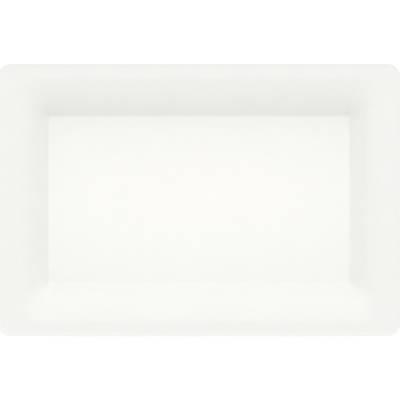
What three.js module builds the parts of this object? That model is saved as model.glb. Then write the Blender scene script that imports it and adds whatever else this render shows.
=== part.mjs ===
// Rectangular plate of moulded sugarcane fibre (bagasse), for takeaway food.
// The real plate is one sheet of wet fibre pulp, pressed hot between two moulds and trimmed, so it is
// one solid with the same wall everywhere. From the outer edge inwards it has a small upturned lip, a
// flat rim, a roll that bends down to a straight wall, a tight fillet and a flat rectangular floor.
// On the two short sides the rim is wider, the roll tighter and the wall less steep than on the long ones.
// Millimetres, +Z up, X along the length. The origin is the middle of the underside.
import * as THREE from "three";
import { mergeVertices } from "three/addons/utils/BufferGeometryUtils.js";

// Overall sizes
const plateLength = 220;
const plateWidth = 149;
const wallThickness = 0.8;
const wellDepth = 16; // from the flat rim's upper face down to the floor's

// Rim and upturned lip
const shortSideRim = 10.5; // outer edge to the start of the roll, on the two short sides
const longSideRim = 7.8;
const lipWidth = 2.4;
const lipRise = 0.6;

// Slope from the rim down to the floor, with its angles in degrees from the horizontal
const shortSideBreak = 10; // where the slope leaves the flat rim
const longSideBreak = 12;
const shortSideRoll = 13; // radius of the upper face where the rim bends down
const longSideRoll = 27;
const shortSideWall = 55;
const longSideWall = 56;
const floorFillet = 1; // upper face, between the wall and the floor

// Corner radii of the outline, of the rim's inner line and of the flat floor
const outerCorner = 6.6;
const rimCorner = 13;
const floorCorner = 0.6;
const leastCorner = 0.3; // a corner is never sharper than this

// Facets
const cornerSteps = 4; // half of the facets in each corner
const lipSteps = 4;
const slopeSteps = 18;
const filletSteps = 5;

const pulpColour = 0xf3f4ef;
const pulpRoughness = 0.85;

const rimHeight = wallThickness + wellDepth; // the flat rim's upper face
const filletHeight = wallThickness + floorFillet; // the fillet's centre

// The slope on one pair of sides. The roll's centre is at rollInset and rollHeight, and the flat floor
// starts at floorInset. Insets are measured inwards from the outer edge.
function slopeOf(rim, roll, breakAngle, wallAngle) {
  const start = THREE.MathUtils.degToRad(breakAngle);
  const wall = THREE.MathUtils.degToRad(wallAngle);
  const roomForRoll = wellDepth - floorFillet * (1 - Math.cos(wall));
  const radius = Math.min(roll, roomForRoll / (Math.cos(start) - Math.cos(wall)));
  const rollInset = rim - radius * Math.sin(start);
  const rollHeight = rimHeight - radius * Math.cos(start);
  const wallHeight = rollHeight + radius * Math.cos(wall) - wallThickness;
  const creaseInset = rollInset + radius * Math.sin(wall) + wallHeight / Math.tan(wall);
  const floorInset = creaseInset + floorFillet * Math.tan(wall / 2);
  return { wall, radius, rollInset, rollHeight, floorInset };
}

const shortSide = slopeOf(shortSideRim, shortSideRoll, shortSideBreak, shortSideWall);
const longSide = slopeOf(longSideRim, longSideRoll, longSideBreak, longSideWall);
const steepestWall = Math.max(shortSide.wall, longSide.wall);

// How far in the slope is at a height: on the roll, on the floor's fillet or on the straight wall.
// depth is 0 on the upper face and the wall's thickness on the underside. Rounding can leave a square
// just under 0 at either end.
function slopeInset(side, height, depth) {
  const roll = side.radius - depth;
  const fillet = floorFillet + depth;
  const rollRise = height - side.rollHeight;
  const filletDrop = filletHeight - height;
  if (rollRise > roll * Math.cos(side.wall)) {
    return side.rollInset + Math.sqrt(Math.max(roll ** 2 - rollRise ** 2, 0));
  }
  if (filletDrop > fillet * Math.cos(side.wall)) {
    return side.floorInset - Math.sqrt(Math.max(fillet ** 2 - filletDrop ** 2, 0));
  }
  const wallDrop = roll * Math.cos(side.wall) - rollRise;
  return side.rollInset + roll * Math.sin(side.wall) + wallDrop / Math.tan(side.wall);
}

// Each level is one closed rounded rectangle around the plate, at one height.
function lipLevels(depth) {
  const radius = (lipWidth ** 2 + lipRise ** 2) / (2 * lipRise);
  const centreHeight = rimHeight + radius;
  return Array.from({ length: lipSteps + 1 }, (_, i) => {
    const inset = (lipWidth * i) / lipSteps;
    return {
      shortInset: inset,
      longInset: inset,
      corner: Math.max(outerCorner - inset, leastCorner),
      height: centreHeight - Math.sqrt((radius + depth) ** 2 - (lipWidth - inset) ** 2),
    };
  });
}

function slopeLevels(depth) {
  const top = rimHeight - depth;
  const fillet = floorFillet + depth;
  const drop = top - (filletHeight - fillet * Math.cos(steepestWall));
  const lowCorner = floorCorner + fillet * Math.sin(steepestWall);
  return Array.from({ length: slopeSteps + 1 }, (_, i) => {
    const share = (i / slopeSteps) ** 2; // close together where the roll is nearly flat
    const height = top - drop * share;
    return {
      shortInset: slopeInset(shortSide, height, depth),
      longInset: slopeInset(longSide, height, depth),
      corner: THREE.MathUtils.lerp(rimCorner, lowCorner, share),
      height,
    };
  });
}

function filletLevels(depth) {
  const fillet = floorFillet + depth;
  return Array.from({ length: filletSteps }, (_, i) => {
    const angle = steepestWall * (1 - (i + 1) / filletSteps);
    const height = filletHeight - fillet * Math.cos(angle);
    return {
      shortInset: slopeInset(shortSide, height, depth),
      longInset: slopeInset(longSide, height, depth),
      corner: floorCorner + fillet * Math.sin(angle),
      height,
    };
  });
}

// One face of the sheet, from the outer edge in to the flat floor.
function faceLevels(depth) {
  return [...lipLevels(depth), ...slopeLevels(depth), ...filletLevels(depth)];
}

function levelPoints({ shortInset, longInset, corner, height }) {
  const x = plateLength / 2 - shortInset - corner;
  const y = plateWidth / 2 - longInset - corner;
  const outline = new THREE.Path()
    .absarc(x, y, corner, 0, Math.PI / 2)
    .absarc(-x, y, corner, Math.PI / 2, Math.PI)
    .absarc(-x, -y, corner, Math.PI, 1.5 * Math.PI)
    .absarc(x, -y, corner, 1.5 * Math.PI, 2 * Math.PI);
  return outline.getPoints(cornerSteps).map((p) => new THREE.Vector3(p.x, p.y, height));
}

// A closed skin through all the levels in turn, with a flat cap on the first and on the last.
function loft(levels) {
  const rings = levels.map(levelPoints);
  const count = rings[0].length;
  const faces = [];
  for (let level = 0; level + 1 < rings.length; level++) {
    for (let i = 0; i < count; i++) {
      const next = (i + 1) % count;
      const [a, b] = [level * count + i, level * count + next];
      const [c, d] = [a + count, b + count];
      faces.push(a, c, b, b, c, d);
    }
  }
  const cap = THREE.ShapeUtils.triangulateShape(rings[0], []);
  const last = (rings.length - 1) * count;
  cap.forEach(([a, b, c]) => faces.push(a, b, c, last + a, last + c, last + b));
  const geometry = new THREE.BufferGeometry().setFromPoints(rings.flat()).setIndex(faces);
  return mergeVertices(geometry);
}

function makePlate() {
  const upperFace = faceLevels(0).reverse();
  const underside = faceLevels(wallThickness);
  const geometry = loft([...upperFace, ...underside]);
  geometry.computeVertexNormals();
  const material = new THREE.MeshStandardMaterial({
    color: pulpColour,
    roughness: pulpRoughness,
    metalness: 0,
  });
  const plate = new THREE.Mesh(geometry, material);
  plate.name = "plate";
  return plate;
}

const group = new THREE.Group();
group.add(makePlate());

export default group;
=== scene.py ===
"""Looks of a rectangular plate of moulded sugarcane fibre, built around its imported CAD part.

The CAD node stays as the collision shape. One fine mesh stands for it: the same sheet, with a rounded
trimmed edge, the slight waviness of dried pulp and procedural pulp materials. Metres, +Z up.
"""
import math

import bpy
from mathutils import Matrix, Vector, noise


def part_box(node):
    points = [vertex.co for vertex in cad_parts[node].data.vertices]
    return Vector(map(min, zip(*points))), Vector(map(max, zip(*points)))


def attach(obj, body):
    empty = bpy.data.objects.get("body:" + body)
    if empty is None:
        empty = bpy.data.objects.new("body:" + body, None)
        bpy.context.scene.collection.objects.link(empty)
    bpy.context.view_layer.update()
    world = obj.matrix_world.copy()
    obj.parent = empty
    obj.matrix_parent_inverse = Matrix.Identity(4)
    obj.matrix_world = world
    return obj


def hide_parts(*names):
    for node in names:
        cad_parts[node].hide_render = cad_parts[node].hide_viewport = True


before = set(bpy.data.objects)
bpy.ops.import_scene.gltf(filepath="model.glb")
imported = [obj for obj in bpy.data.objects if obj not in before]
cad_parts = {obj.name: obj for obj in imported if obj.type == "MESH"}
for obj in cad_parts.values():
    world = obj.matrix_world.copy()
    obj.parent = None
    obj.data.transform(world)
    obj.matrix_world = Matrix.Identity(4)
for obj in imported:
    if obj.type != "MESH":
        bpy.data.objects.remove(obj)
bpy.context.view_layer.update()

# The sheet, with the same sizes as the CAD part
low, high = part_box("plate")
LENGTH, WIDTH, HEIGHT = high - low
WALL = 0.0008
LIP_WIDTH = 0.0024
LIP_RISE = 0.0006
RIM_HEIGHT = HEIGHT - LIP_RISE
FLOOR_FILLET = 0.001
FILLET_HEIGHT = WALL + FLOOR_FILLET
OUTER_CORNER = 0.0066
RIM_CORNER = 0.013
FLOOR_CORNER = 0.0006
LEAST_CORNER = 0.0001  # a corner is never sharper than this
EDGE_ROUND = 0.00015  # on both corners of the trimmed edge

# Facets of the fine mesh
LONG_STEPS = 150
SHORT_STEPS = 100
CORNER_STEPS = 10
EDGE_STEPS = 3
LIP_STEPS = 6
RIM_STEPS = 4
SLOPE_STEPS = 26
FILLET_STEPS = 8
FLOOR_STEPS = 16
FLOOR_REACH = 0.99  # of the way to the middle line, for the floor's last ring

# Dried pulp is never quite flat or straight
WAVE_LENGTH = 0.07
WAVE_HEIGHT = 0.00022
EDGE_WAVE_LENGTH = 0.006
EDGE_WAVE_DEPTH = 0.00006


class Slope:
    """The slope on one pair of sides, from the flat rim down to the floor, as in the CAD part."""

    def __init__(self, rim, radius, break_angle, wall_angle):
        start = math.radians(break_angle)
        self.wall = math.radians(wall_angle)
        self.radius = radius
        self.roll_inset = rim - radius * math.sin(start)
        self.roll_height = RIM_HEIGHT - radius * math.cos(start)
        wall_height = self.roll_height + radius * math.cos(self.wall) - WALL
        crease = self.roll_inset + radius * math.sin(self.wall) + wall_height / math.tan(self.wall)
        self.floor_inset = crease + FLOOR_FILLET * math.tan(self.wall / 2)

    def inset(self, height, depth):
        """How far in from the outer edge the slope is at a height, on either face of the sheet."""
        roll = self.radius - depth
        fillet = FLOOR_FILLET + depth
        roll_rise = height - self.roll_height
        fillet_drop = FILLET_HEIGHT - height
        if roll_rise > roll * math.cos(self.wall):
            return self.roll_inset + math.sqrt(max(roll ** 2 - roll_rise ** 2, 0))
        if fillet_drop > fillet * math.cos(self.wall):
            return self.floor_inset - math.sqrt(max(fillet ** 2 - fillet_drop ** 2, 0))
        wall_drop = roll * math.cos(self.wall) - roll_rise
        return self.roll_inset + roll * math.sin(self.wall) + wall_drop / math.tan(self.wall)


SHORT_SIDE = Slope(rim=0.0105, radius=0.013, break_angle=10, wall_angle=55)
LONG_SIDE = Slope(rim=0.0078, radius=0.027, break_angle=12, wall_angle=56)
STEEPEST_WALL = max(SHORT_SIDE.wall, LONG_SIDE.wall)


def mix(a, b, share):
    return a + (b - a) * share


def lip_height(inset, depth):
    radius = (LIP_WIDTH ** 2 + LIP_RISE ** 2) / (2 * LIP_RISE)
    return RIM_HEIGHT + radius - math.sqrt((radius + depth) ** 2 - (LIP_WIDTH - inset) ** 2)


def edge_levels(depth):
    """The rounded corner between the trimmed edge and one face."""
    turn = 1 if depth else -1
    levels = []
    for i in range(EDGE_STEPS):
        angle = 0.5 * math.pi * i / EDGE_STEPS
        inset = EDGE_ROUND * (1 - math.cos(angle))
        drop = EDGE_ROUND * (1 - math.sin(angle))
        height = lip_height(EDGE_ROUND, depth) + turn * drop
        levels.append((inset, inset, OUTER_CORNER - inset, height))
    return levels


def lip_levels(depth):
    levels = []
    for i in range(LIP_STEPS + 1):
        inset = mix(EDGE_ROUND, LIP_WIDTH, i / LIP_STEPS)
        levels.append((inset, inset, OUTER_CORNER - inset, lip_height(inset, depth)))
    return levels


def rim_levels(depth):
    levels = []
    for i in range(1, RIM_STEPS):
        share = i / RIM_STEPS
        short = mix(LIP_WIDTH, SHORT_SIDE.inset(RIM_HEIGHT - depth, depth), share)
        long = mix(LIP_WIDTH, LONG_SIDE.inset(RIM_HEIGHT - depth, depth), share)
        corner = mix(OUTER_CORNER - LIP_WIDTH, RIM_CORNER, share)
        levels.append((short, long, corner, RIM_HEIGHT - depth))
    return levels


def slope_levels(depth):
    top = RIM_HEIGHT - depth
    fillet = FLOOR_FILLET + depth
    drop = top - (FILLET_HEIGHT - fillet * math.cos(STEEPEST_WALL))
    low_corner = FLOOR_CORNER + fillet * math.sin(STEEPEST_WALL)
    levels = []
    for i in range(SLOPE_STEPS + 1):
        share = (i / SLOPE_STEPS) ** 2  # close together where the roll is nearly flat
        height = top - drop * share
        short = SHORT_SIDE.inset(height, depth)
        long = LONG_SIDE.inset(height, depth)
        levels.append((short, long, mix(RIM_CORNER, low_corner, share), height))
    return levels


def fillet_levels(depth):
    fillet = FLOOR_FILLET + depth
    levels = []
    for i in range(1, FILLET_STEPS + 1):
        angle = STEEPEST_WALL * (1 - i / FILLET_STEPS)
        height = FILLET_HEIGHT - fillet * math.cos(angle)
        short = SHORT_SIDE.inset(height, depth)
        long = LONG_SIDE.inset(height, depth)
        levels.append((short, long, FLOOR_CORNER + fillet * math.sin(angle), height))
    return levels


def floor_levels(depth):
    """Rings across the flat floor, down to a narrow strip along its middle."""
    reach = FLOOR_REACH * (WIDTH / 2 - LONG_SIDE.floor_inset)
    levels = []
    for i in range(1, FLOOR_STEPS + 1):
        inset = reach * i / FLOOR_STEPS
        short = SHORT_SIDE.floor_inset + inset
        long = LONG_SIDE.floor_inset + inset
        levels.append((short, long, max(FLOOR_CORNER - inset, LEAST_CORNER), WALL - depth))
    return levels


def face_levels(depth):
    """One face of the sheet, from the trimmed edge in to the middle of the floor."""
    parts = (edge_levels, lip_levels, rim_levels, slope_levels, fillet_levels, floor_levels)
    return [level for part in parts for level in part(depth)]


def ring(short_inset, long_inset, corner, height):
    """A closed rounded rectangle with its points spread along the sides and the corners."""
    x = LENGTH / 2 - short_inset - corner
    y = WIDTH / 2 - long_inset - corner
    centres = [(x, y), (-x, y), (-x, -y), (x, -y)]
    side_steps = [LONG_STEPS, SHORT_STEPS, LONG_STEPS, SHORT_STEPS]
    points = []
    for quarter, (cx, cy) in enumerate(centres):
        for i in range(CORNER_STEPS + 1):
            angle = 0.5 * math.pi * (quarter + i / CORNER_STEPS)
            points.append(Vector((cx + corner * math.cos(angle), cy + corner * math.sin(angle), height)))
        nx, ny = centres[(quarter + 1) % 4]
        angle = 0.5 * math.pi * (quarter + 1)
        start = points[-1]
        end = Vector((nx + corner * math.cos(angle), ny + corner * math.sin(angle), height))
        for i in range(1, side_steps[quarter]):
            points.append(start.lerp(end, i / side_steps[quarter]))
    return points


def warp(point):
    """Lets the sheet wave a little, more at the rim than at the floor, and its trimmed edge wander."""
    share = min(max(point.z / RIM_HEIGHT, 0), 1)
    flat = Vector((point.x, point.y, 0))
    lift = WAVE_HEIGHT * noise.noise(flat / WAVE_LENGTH) * share
    edge = max(abs(point.x) - LENGTH / 2, abs(point.y) - WIDTH / 2) + LIP_WIDTH
    pull = EDGE_WAVE_DEPTH * min(max(edge / LIP_WIDTH, 0), 1)
    wander = noise.noise_vector(flat / EDGE_WAVE_LENGTH) * pull
    return point + Vector((wander.x, wander.y, lift))


PRESSED, CUT, SCREEN = range(3)  # the mesh's material slots


def plate_mesh():
    """The whole sheet: the upper face from its middle outwards, then the underside back in."""
    upper = face_levels(0)
    under = face_levels(WALL)
    levels = list(reversed(upper)) + under
    rings = [ring(*level) for level in levels]
    count = len(rings[0])
    verts = [warp(p) for points in rings for p in points]
    faces = []
    slots = []
    for level in range(len(rings) - 1):
        if level < len(upper) - 1:
            slot = PRESSED
        elif level < len(upper):
            slot = CUT
        else:
            slot = SCREEN
        for i in range(count):
            a = level * count + i
            b = level * count + (i + 1) % count
            faces.append((a, a + count, b + count, b))
            slots.append(slot)
    last = (len(rings) - 1) * count
    for start, slot, order in ((0, PRESSED, 1), (last, SCREEN, -1)):
        for face in strip(start, order):
            faces.append(face)
            slots.append(slot)
    mesh = bpy.data.meshes.new("moulded_plate")
    mesh.from_pydata(verts, [], faces)
    mesh.polygons.foreach_set("material_index", slots)
    mesh.shade_smooth()
    mesh.update()
    return mesh


def strip(start, order):
    """Faces that close the narrow ring at the middle of the floor, from one long side to the other."""
    count = 2 * (LONG_STEPS + SHORT_STEPS) + 4 * CORNER_STEPS
    around = 2 * CORNER_STEPS + SHORT_STEPS  # steps round each short end
    far = CORNER_STEPS  # first point of the long side at +Y
    left = far + LONG_STEPS
    right = left + around + LONG_STEPS  # last point of the long side at -Y
    faces = [(far + i, far + i + 1, right - i - 1, right - i) for i in range(LONG_STEPS)]
    faces.append([left + i for i in range(around + 1)])
    faces.append([(right + i) % count for i in range(around + 1)])
    return [[start + i for i in face[::order]] for face in faces]


class Nodes:
    """Short calls for the node tree of a material or a world."""

    def __init__(self, owner, output="ShaderNodeOutputMaterial"):
        owner.use_nodes = True
        self.owner = owner
        self.tree = owner.node_tree
        self.tree.nodes.clear()
        self.surface = self.add(output).inputs["Surface"]

    def add(self, kind, **settings):
        node = self.tree.nodes.new(kind)
        for key, value in settings.items():
            setattr(node, key, value)
        return node

    def link(self, source, target):
        self.tree.links.new(source, target)

    def value(self, target, source):
        """Sets an input to a number, or links it."""
        if hasattr(source, "is_output"):
            self.link(source, target)
        else:
            target.default_value = source

    def position(self):
        return self.add("ShaderNodeTexCoord").outputs["Object"]

    def split(self, vector):
        """The X, Y and Z outputs of a vector."""
        node = self.add("ShaderNodeSeparateXYZ")
        self.link(vector, node.inputs["Vector"])
        return node.outputs

    def for_camera(self, other, seen):
        """Shows one shader to the camera alone, and the other one to all other rays."""
        node = self.add("ShaderNodeMixShader")
        self.link(self.add("ShaderNodeLightPath").outputs["Is Camera Ray"], node.inputs["Fac"])
        self.link(other.outputs[0], node.inputs[1])
        self.link(seen.outputs[0], node.inputs[2])
        self.link(node.outputs[0], self.surface)

    def noise(self, vector, scale, detail, output="Fac"):
        node = self.add("ShaderNodeTexNoise")
        self.link(vector, node.inputs["Vector"])
        node.inputs["Scale"].default_value = scale
        node.inputs["Detail"].default_value = detail
        return node.outputs[output]

    def math(self, operation, a, b=0.0, clamp=False):
        node = self.add("ShaderNodeMath", operation=operation, use_clamp=clamp)
        self.value(node.inputs[0], a)
        self.value(node.inputs[1], b)
        return node.outputs[0]

    def ramp(self, source, low, high, to_low=0.0, to_high=1.0):
        node = self.add("ShaderNodeMapRange")
        self.link(source, node.inputs["Value"])
        node.inputs["From Min"].default_value = low
        node.inputs["From Max"].default_value = high
        node.inputs["To Min"].default_value = to_low
        node.inputs["To Max"].default_value = to_high
        return node.outputs["Result"]

    def stretched(self, vector, angle, scale):
        """The position turned about Z and stretched, for streaks that run one way."""
        turn = self.add("ShaderNodeMapping", vector_type="TEXTURE")
        self.link(vector, turn.inputs["Vector"])
        turn.inputs["Rotation"].default_value = (0, 0, angle)
        stretch = self.add("ShaderNodeMapping")
        self.link(turn.outputs["Vector"], stretch.inputs["Vector"])
        stretch.inputs["Scale"].default_value = scale
        return stretch.outputs["Vector"]

    def mix_colour(self, share, a, b, blend="MIX"):
        node = self.add("ShaderNodeMix", data_type="RGBA", blend_type=blend)
        self.value(node.inputs["Factor"], share)
        self.value(node.inputs["A"], a)
        self.value(node.inputs["B"], b)
        return node.outputs["Result"]

    def bump(self, height, distance, strength, normal=None):
        node = self.add("ShaderNodeBump")
        self.link(height, node.inputs["Height"])
        node.inputs["Distance"].default_value = distance
        node.inputs["Strength"].default_value = strength
        if normal is not None:
            self.link(normal, node.inputs["Normal"])
        return node.outputs["Normal"]


FIBRE_COLOUR = (0.886, 0.899, 0.857, 1)
CLOUD_COLOUR = (0.877, 0.89, 0.848, 1)
FLOOR_LIGHT_TINT = (1.039, 1.032, 1.039, 1)  # painted light: times the colour of the walls and the rim, all over the floor
# painted pool of light in the floor's middle, times the colour of the walls and the rim
MIDDLE_LIGHT_TINT = (1.09, 1.077, 1.076, 1)
LIGHT_POOL_REACH = (0.188, 0.051)  # of the painted pool of light, along X and Y
STRAND_TINT = (0.98, 0.976, 0.962, 1)  # times the colour around it, on the fibres that show
FLECK_COLOUR = (0.62, 0.5, 0.33, 1)
CLOUD_SCALE = 55
CLOUD_RANGE = (0.35, 0.7)  # noise levels between which a cloud deepens
FLECK_CELLS = (130, 260, 130)  # per metre, turned by FLECK_ANGLE
FLECK_ANGLE = 0.7
FLECK_CHOICE = (0.93, 0.96)  # a cell holds a fleck when its random number is above this
FLECK_SIZE = (0.05, 0.03)  # of its cell, at the fleck's outer edge and at its full strength
FLECK_STRENGTH = 0.35
FLOOR_LIGHT_TOP = (0.0016, 0.0009)  # heights where the floor's painted light starts and is whole
FIBRE_ANGLES = (0.2, 1.0, 1.75, 2.6)
FIBRE_CELLS = (450, 5200, 450)  # per metre, along a fibre, across it and down
FIBRE_RANGE = (0.58, 0.74)  # noise levels where a fibre starts and is at its full height
BEND_SCALE = 260
BEND_REACH = (0.0012, 0.0012, 0.0012)
MESH_PITCH = 0.0007  # of the forming mould's wires
PULP_IOR = 1.45


def fibre_height(nodes, place):
    """Short fine fibres lying every way, as a height between 0 and 1."""
    bent = nodes.add("ShaderNodeVectorMath", operation="MULTIPLY_ADD")
    nodes.link(nodes.noise(place, BEND_SCALE, detail=1, output="Color"), bent.inputs[0])
    bent.inputs[1].default_value = BEND_REACH
    nodes.link(place, bent.inputs[2])
    total = 0.0
    for angle in FIBRE_ANGLES:
        streaks = nodes.noise(nodes.stretched(bent.outputs[0], angle, FIBRE_CELLS), 1, detail=1)
        total = nodes.math("MAXIMUM", total, nodes.ramp(streaks, *FIBRE_RANGE))
    return total


def paint_floor_light(nodes, place, colour):
    """Painted light: the floor is painted whiter than the walls and the rim, as a pool of light that is
    whitest in its middle.
    """
    parts = nodes.split(place)
    on_floor = nodes.ramp(parts["Z"], *FLOOR_LIGHT_TOP)
    light_pool = 1.0
    for axis, reach in zip("XY", LIGHT_POOL_REACH):
        away = nodes.math("DIVIDE", parts[axis], reach)
        light_pool = nodes.math("SUBTRACT", light_pool, nodes.math("MULTIPLY", away, away), clamp=True)
    # painted light: whitest in the middle of the floor, less towards its edges
    tint = nodes.mix_colour(light_pool, FLOOR_LIGHT_TINT, MIDDLE_LIGHT_TINT)
    return nodes.mix_colour(on_floor, colour, nodes.mix_colour(1.0, colour, tint, "MULTIPLY"))


def pulp_colour(nodes, place, fibres):
    """Off-white with faint clouds, slightly darker fibres and a few tan specks."""
    cloud = nodes.ramp(nodes.noise(place, CLOUD_SCALE, detail=4), *CLOUD_RANGE)
    colour = nodes.mix_colour(cloud, FIBRE_COLOUR, CLOUD_COLOUR)
    colour = nodes.mix_colour(fibres, colour, nodes.mix_colour(1.0, colour, STRAND_TINT, "MULTIPLY"))
    cells = nodes.add("ShaderNodeTexVoronoi")
    nodes.link(nodes.stretched(place, FLECK_ANGLE, FLECK_CELLS), cells.inputs["Vector"])
    cells.inputs["Scale"].default_value = 1
    rare = nodes.add("ShaderNodeSeparateColor")
    nodes.link(cells.outputs["Color"], rare.inputs["Color"])
    chosen = nodes.ramp(rare.outputs["Red"], *FLECK_CHOICE)
    spot = nodes.ramp(cells.outputs["Distance"], *FLECK_SIZE)
    fleck = nodes.math("MULTIPLY", chosen, spot)
    return nodes.mix_colour(nodes.math("MULTIPLY", fleck, FLECK_STRENGTH), colour, FLECK_COLOUR)


def finish_pulp(nodes, colour, roughness, normal):
    shader = nodes.add("ShaderNodeBsdfPrincipled")
    nodes.link(colour, shader.inputs["Base Color"])
    nodes.link(roughness, shader.inputs["Roughness"])
    shader.inputs["IOR"].default_value = PULP_IOR
    nodes.link(normal, shader.inputs["Normal"])
    nodes.link(shader.outputs["BSDF"], nodes.surface)
    return nodes.owner


def pressed_pulp():
    """The food side, pressed smooth against a polished mould."""
    nodes = Nodes(bpy.data.materials.new("pressed_pulp"))
    place = nodes.position()
    fibres = fibre_height(nodes, place)
    grain = nodes.noise(place, 900, detail=4)
    normal = nodes.bump(fibres, distance=0.00006, strength=0.5)
    normal = nodes.bump(grain, distance=0.00006, strength=0.35, normal=normal)
    roughness = nodes.ramp(fibres, 0, 1, to_low=0.58, to_high=0.68)
    # the floor's colour is lifted by painted light, whitest in its middle
    colour = paint_floor_light(nodes, place, pulp_colour(nodes, place, fibres))
    return finish_pulp(nodes, colour, roughness, normal)


def screen_pulp():
    """The underside, which lay on the forming mould's wire mesh and keeps its print."""
    nodes = Nodes(bpy.data.materials.new("screen_pulp"))
    place = nodes.position()
    fibres = fibre_height(nodes, place)
    parts = nodes.split(place)
    wave_per_metre = 2 * math.pi / MESH_PITCH
    across = nodes.math("SINE", nodes.math("MULTIPLY", parts["X"], wave_per_metre))
    along = nodes.math("SINE", nodes.math("MULTIPLY", parts["Y"], wave_per_metre))
    wires = nodes.ramp(nodes.math("MULTIPLY", across, along), -1, 1)
    grain = nodes.noise(place, 700, detail=4)
    normal = nodes.bump(wires, distance=0.00005, strength=0.6)
    normal = nodes.bump(fibres, distance=0.00005, strength=0.5, normal=normal)
    normal = nodes.bump(grain, distance=0.00008, strength=0.4, normal=normal)
    roughness = nodes.ramp(fibres, 0, 1, to_low=0.78, to_high=0.88)
    return finish_pulp(nodes, pulp_colour(nodes, place, fibres), roughness, normal)


def cut_pulp():
    """The trimmed edge, where the die leaves torn fibre ends."""
    nodes = Nodes(bpy.data.materials.new("cut_pulp"))
    place = nodes.position()
    torn = nodes.noise(place, 2500, detail=5)
    normal = nodes.bump(torn, distance=0.0001, strength=0.7)
    roughness = nodes.ramp(torn, 0.3, 0.7, to_low=0.85, to_high=0.95)
    return finish_pulp(nodes, pulp_colour(nodes, place, torn), roughness, normal)


def make_plate():
    piece = bpy.data.objects.new("moulded_plate", plate_mesh())
    bpy.context.scene.collection.objects.link(piece)
    for material in (pressed_pulp(), cut_pulp(), screen_pulp()):  # in the order of the slots
        piece.data.materials.append(material)
    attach(piece, "root")
    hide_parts("plate")


# The photo is taken from straight above, and the plate fills its width
PHOTO_WIDTH_PX = 400
PLATE_LENGTH_PX = 402
PLATE_MIDDLE_PX = (199, 200.05)
SENSOR_MM = 36
LENS_MM = 135


def make_camera():
    metres_per_px = LENGTH / PLATE_LENGTH_PX
    distance = metres_per_px * PHOTO_WIDTH_PX * LENS_MM / SENSOR_MM
    half = PHOTO_WIDTH_PX / 2
    data = bpy.data.cameras.new("camera")
    data.sensor_width = SENSOR_MM
    data.lens = LENS_MM
    camera = bpy.data.objects.new("camera", data)
    camera.location = (
        (half - PLATE_MIDDLE_PX[0]) * metres_per_px,
        (PLATE_MIDDLE_PX[1] - half) * metres_per_px,
        RIM_HEIGHT + distance,
    )
    bpy.context.scene.collection.objects.link(camera)
    bpy.context.scene.camera = camera


STAGE_HALF = 3.0
STAGE_GAP = 0.0001  # under the plate
STAGE_GLOW = 0.86
STAGE_COLOUR = (0.22, 0.22, 0.22, 1)
STAGE_BOUNCE = (0.8, 0.8, 0.8, 1)


def floor_material():
    """White to the camera wherever light falls on it, with the plate's soft shadow."""
    nodes = Nodes(bpy.data.materials.new("studio_floor"))
    bounce = nodes.add("ShaderNodeBsdfDiffuse")
    bounce.inputs["Color"].default_value = STAGE_BOUNCE
    shaded = nodes.add("ShaderNodeBsdfDiffuse")
    shaded.inputs["Color"].default_value = STAGE_COLOUR
    glow = nodes.add("ShaderNodeEmission")
    glow.inputs["Strength"].default_value = STAGE_GLOW
    seen = nodes.add("ShaderNodeAddShader")
    nodes.link(shaded.outputs[0], seen.inputs[0])
    nodes.link(glow.outputs[0], seen.inputs[1])
    nodes.for_camera(bounce, seen)
    return nodes.owner


def make_floor():
    mesh = bpy.data.meshes.new("studio_floor")
    s = STAGE_HALF
    mesh.from_pydata([(-s, -s, 0), (s, -s, 0), (s, s, 0), (-s, s, 0)], [], [(0, 1, 2, 3)])
    mesh.materials.append(floor_material())
    floor = bpy.data.objects.new("studio_floor", mesh)
    floor.location.z = -STAGE_GAP
    bpy.context.scene.collection.objects.link(floor)


SKY_LEVEL = 0.827  # straight overhead
SKY_TILT = 0.065  # added towards the top of the picture, and taken off towards the bottom
SKY_GLOW = 0.402  # added at the horizon
SKY_SIDES = -0.175  # added towards the left and the right of the picture
SKY_TINT = (1, 1, 1, 1)
SKY_NEAR_TINT = (1, 0.95, 0.99, 1)  # at the horizon, at the bottom of the picture


def make_world():
    """Soft light from all round, a little uneven as in a studio, and plain white to the camera."""
    world = bpy.data.worlds.new("studio")
    bpy.context.scene.world = world
    nodes = Nodes(world, "ShaderNodeOutputWorld")
    parts = nodes.split(nodes.add("ShaderNodeTexCoord").outputs["Generated"])
    up = nodes.math("MAXIMUM", parts["Z"], 0)
    level = nodes.math("ADD", nodes.math("MULTIPLY", up, -SKY_GLOW), SKY_LEVEL + SKY_GLOW)
    level = nodes.math("ADD", level, nodes.math("MULTIPLY", parts["Y"], SKY_TILT))
    sides = nodes.math("MULTIPLY", parts["X"], parts["X"])
    level = nodes.math("ADD", level, nodes.math("MULTIPLY", sides, SKY_SIDES))
    light = nodes.add("ShaderNodeBackground")
    tint = nodes.mix_colour(nodes.ramp(parts["Y"], 0, -1), SKY_TINT, SKY_NEAR_TINT)
    nodes.link(tint, light.inputs["Color"])
    nodes.link(level, light.inputs["Strength"])
    white = nodes.add("ShaderNodeBackground")
    white.inputs["Color"].default_value = (1, 1, 1, 1)
    nodes.for_camera(light, white)


LAMP_DISTANCE = 6
LAMP_ELEVATION = math.radians(60)
LAMP_SIZE = 2.6
LAMP_POWER = 50.4


def make_lamp():
    """A soft lamp from the top of the picture, high above the plate."""
    data = bpy.data.lights.new("soft_box", "AREA")
    data.shape = "DISK"
    data.size = LAMP_SIZE
    data.energy = LAMP_POWER
    lamp = bpy.data.objects.new("soft_box", data)
    across = LAMP_DISTANCE * math.cos(LAMP_ELEVATION)
    lamp.location = (0, across, LAMP_DISTANCE * math.sin(LAMP_ELEVATION))
    lamp.rotation_euler = (LAMP_ELEVATION - math.pi / 2, 0, 0)
    lamp.visible_camera = False
    bpy.context.scene.collection.objects.link(lamp)


make_camera()
make_plate()
make_floor()
make_world()
make_lamp()
bpy.context.scene.view_settings.view_transform = "Standard"
